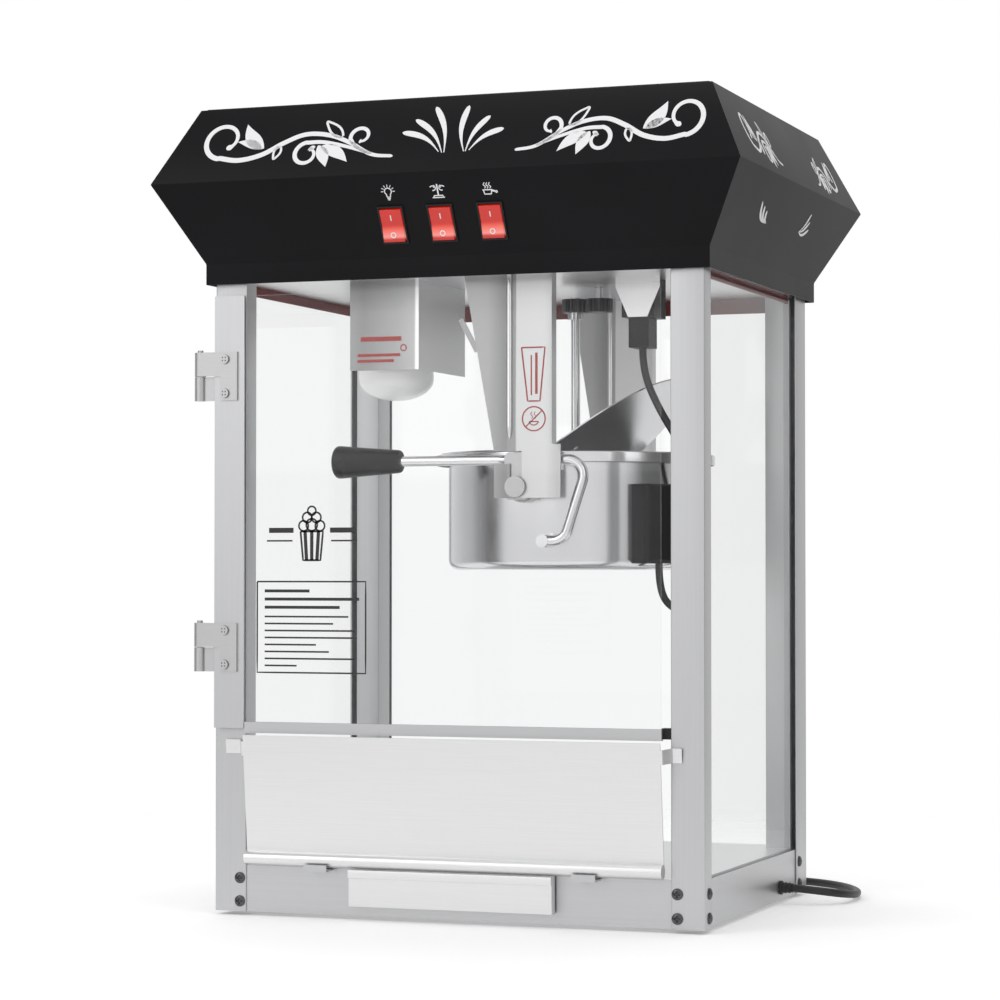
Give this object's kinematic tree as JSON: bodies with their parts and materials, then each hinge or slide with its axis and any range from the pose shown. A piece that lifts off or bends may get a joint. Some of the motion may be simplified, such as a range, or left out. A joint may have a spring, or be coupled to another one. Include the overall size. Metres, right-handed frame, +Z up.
{
  "type": "popcorn_maker",
  "caption": "Tabletop popcorn machine: glazed cabinet with black canopy, tilting kettle with geared stirrer, hinged door, tilting serving panel and kernel drawer",
  "frame": {"origin": "centre of the cabinet's footprint on the surface that the feet stand on", "axes": "+X to the right seen from the front, +Y to the back, +Z up"},
  "size_m": [0.5415, 0.4908, 0.6967],
  "materials": {
    "frame_aluminium": "satin anodised aluminium",
    "sheet_steel": "plain rolled stainless sheet",
    "brushed_steel": "stainless sheet with a fine horizontal grain",
    "kettle_steel": "polished stainless steel",
    "bright_metal": "zinc-plated and turned steel",
    "canopy_black": "satin black powder coat with white vine scrolls",
    "window_glass": "clear tempered glass",
    "door_acrylic": "clear acrylic sheet",
    "black_plastic": "black moulded plastic",
    "black_rubber": "black rubber and cord jacket",
    "switch_red": "translucent red rocker",
    "lamp_white": "frosted white lamp glass",
    "holder_ceramic": "glazed ceramic",
    "heater_iron": "cast heater body",
    "motor_grey": "grey gear motor"
  },
  "bodies": {
    "cabinet": {"post_front_left": "frame_aluminium", "post_front_right": "frame_aluminium", "post_rear_left": "frame_aluminium", "post_rear_right": "frame_aluminium", "sill_front": "frame_aluminium", "sill_rear": "frame_aluminium", "side_sills": "frame_aluminium", "base_pan": "sheet_steel", "deck_plate": "brushed_steel", "drawer_guides": "sheet_steel", "rubber_feet": "black_rubber", "frame_screws": "bright_metal", "window_left": "window_glass", "window_right": "window_glass", "window_rear": "window_glass", "canopy_shell": "canopy_black", "canopy_top_cover": "canopy_black", "ceiling_plate": "sheet_steel", "hanger_front": "sheet_steel", "hanger_rear": "sheet_steel", "lamp_guard": "sheet_steel", "lamp_holder": "holder_ceramic", "lamp_bulb": "lamp_white", "stirrer_motor": "motor_grey", "outlet_box": "black_plastic", "outlet_cover": "sheet_steel", "lead_plug": "black_plastic", "kettle_lead": "black_rubber", "post_hinge_leaves": "bright_metal", "door_magnet": "black_plastic", "strain_relief": "black_plastic", "power_cord": "black_rubber", "power_cord_coil": "black_rubber", "power_plug": "black_plastic", "switch_bezels": "black_plastic"},
    "door": {"door_pane": "door_acrylic", "door_hinge_strip": "frame_aluminium", "door_bottom_rail": "frame_aluminium", "door_hinge_leaves": "bright_metal"},
    "panel": {"serving_panel": "brushed_steel"},
    "drawer": {"drawer_tray": "sheet_steel", "drawer_front": "brushed_steel"},
    "kettle": {"kettle_shell": "kettle_steel", "kettle_pan": "kettle_steel", "kettle_heater": "heater_iron", "kettle_rim": "kettle_steel", "lid_bar": "kettle_steel", "trunnions": "kettle_steel", "handle_rod": "bright_metal", "handle_grip": "black_plastic", "terminal_box": "black_plastic"},
    "stirrer": {"stirrer_gear": "bright_metal", "stirrer_shaft": "bright_metal"},
    "motor_drive": {"motor_gear": "bright_metal", "motor_shaft": "bright_metal"},
    "left_lid": {"lid_left": "kettle_steel"},
    "right_lid": {"lid_right": "kettle_steel"},
    "lamp_switch": {"rocker_lamp": "switch_red"},
    "stirrer_switch": {"rocker_stirrer": "switch_red"},
    "heater_switch": {"rocker_heater": "switch_red"}
  },
  "joints": [
    {"name": "door_hinge", "type": "hinge", "parent": "cabinet", "child": "door", "pos_m": [-0.234, -0.1697, 0.35], "axis": [0, 0, -1], "range_deg": [0, 150]},
    {"name": "panel_fold", "type": "hinge", "parent": "cabinet", "child": "panel", "pos_m": [0, -0.173, 0.05], "axis": [1, 0, 0], "range_deg": [0, 84]},
    {"name": "drawer_slide", "type": "slide", "parent": "cabinet", "child": "drawer", "axis": [0, -1, 0], "range_m": [0, 0.1]},
    {"name": "kettle_tilt", "type": "hinge", "parent": "cabinet", "child": "kettle", "pos_m": [0.044, 0.005, 0.3675], "axis": [0, -1, 0], "range_deg": [0, 80], "deforming": ["kettle_lead"]},
    {"name": "motor_spin", "type": "hinge", "parent": "cabinet", "child": "motor_drive", "pos_m": [0.0733, 0.005, 0.532], "axis": [0, 0, 1], "continuous": true},
    {"name": "stirrer_spin", "type": "hinge", "parent": "kettle", "child": "stirrer", "pos_m": [0.051, 0.005, 0.532], "axis": [0, 0, 1], "continuous": true},
    {"name": "left_lid_hinge", "type": "hinge", "parent": "kettle", "child": "left_lid", "pos_m": [0.037, 0.005, 0.4019], "axis": [0, 1, 0], "range_deg": [0, 70]},
    {"name": "right_lid_hinge", "type": "hinge", "parent": "kettle", "child": "right_lid", "pos_m": [0.065, 0.005, 0.4019], "axis": [0, -1, 0], "range_deg": [-38, 32]},
    {"name": "lamp_rocker", "type": "hinge", "parent": "cabinet", "child": "lamp_switch", "pos_m": [-0.046, -0.18785, 0.588], "axis": [1, 0, 0], "range_deg": [0, 14]},
    {"name": "stirrer_rocker", "type": "hinge", "parent": "cabinet", "child": "stirrer_switch", "pos_m": [-0.0015, -0.18785, 0.588], "axis": [1, 0, 0], "range_deg": [0, 14]},
    {"name": "heater_rocker", "type": "hinge", "parent": "cabinet", "child": "heater_switch", "pos_m": [0.043, -0.18785, 0.588], "axis": [1, 0, 0], "range_deg": [0, 14]}
  ],
  "couplings": [
    {"joint": "stirrer_spin", "follows": "motor_spin", "ratio": -1}
  ]
}
